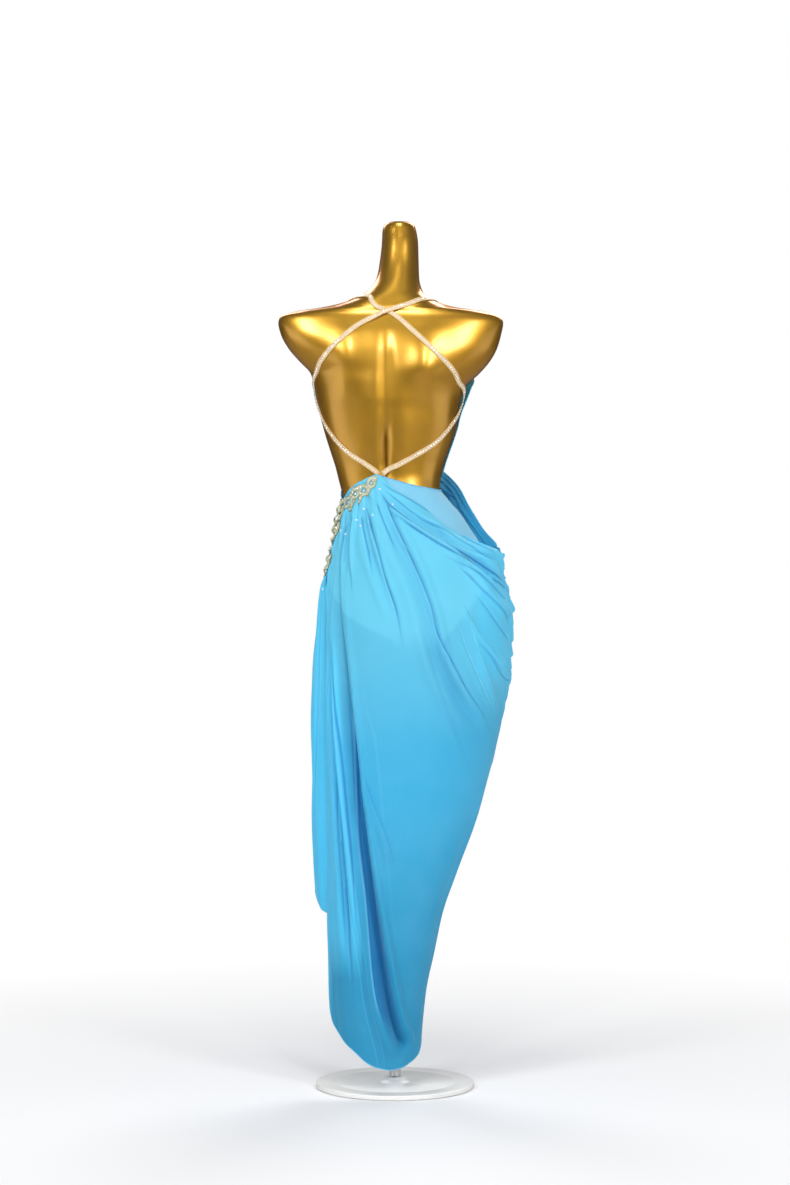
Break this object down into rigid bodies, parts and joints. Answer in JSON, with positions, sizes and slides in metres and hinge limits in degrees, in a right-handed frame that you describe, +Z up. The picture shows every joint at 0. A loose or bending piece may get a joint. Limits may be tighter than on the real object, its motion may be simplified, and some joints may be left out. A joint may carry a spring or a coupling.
{
  "type": "ballroom dance dress on a dress form",
  "caption": "Backless draped dance dress with halter straps, a gathered hip and a long asymmetric tail, worn by a gold limbless dress form on a round stand.",
  "frame": {"origin": "on the floor, under the middle of the stand, at the bottom centre of the whole part's box", "axes": "+Z up; the front of the dress faces -Y, its back faces +Y; +X is the wearer's left"},
  "size_m": [0.4425, 0.3, 1.64],
  "materials": {
    "gold_lacquer": "metallic gold lacquer on fibreglass, soft gloss",
    "brushed_steel": "brushed",
    "white_enamel": "satin white powder coat",
    "blue_lining": "matte stretch knit under mesh",
    "blue_mesh": "sheer matte stretch mesh",
    "strap_band": "nude elastic band with a row of crystals",
    "applique_thread": "corded embroidery with crystals",
    "crystal": "foil-backed faceted stones"
  },
  "bodies": {
    "root": {"form_body": "gold_lacquer", "form_collar": "brushed_steel", "form_pole": "brushed_steel", "form_base": "white_enamel", "briefs_back": "blue_lining", "briefs_front": "blue_lining", "briefs_gusset": "blue_lining", "bodice_right": "blue_lining", "bodice_left": "blue_lining", "skirt_back": "blue_mesh", "skirt_front": "blue_mesh", "strap_upper_right": "strap_band", "strap_upper_left": "strap_band", "strap_lower_right": "strap_band", "strap_lower_left": "strap_band", "applique_hip": "applique_thread", "applique_side": "applique_thread"}
  },
  "joints": []
}
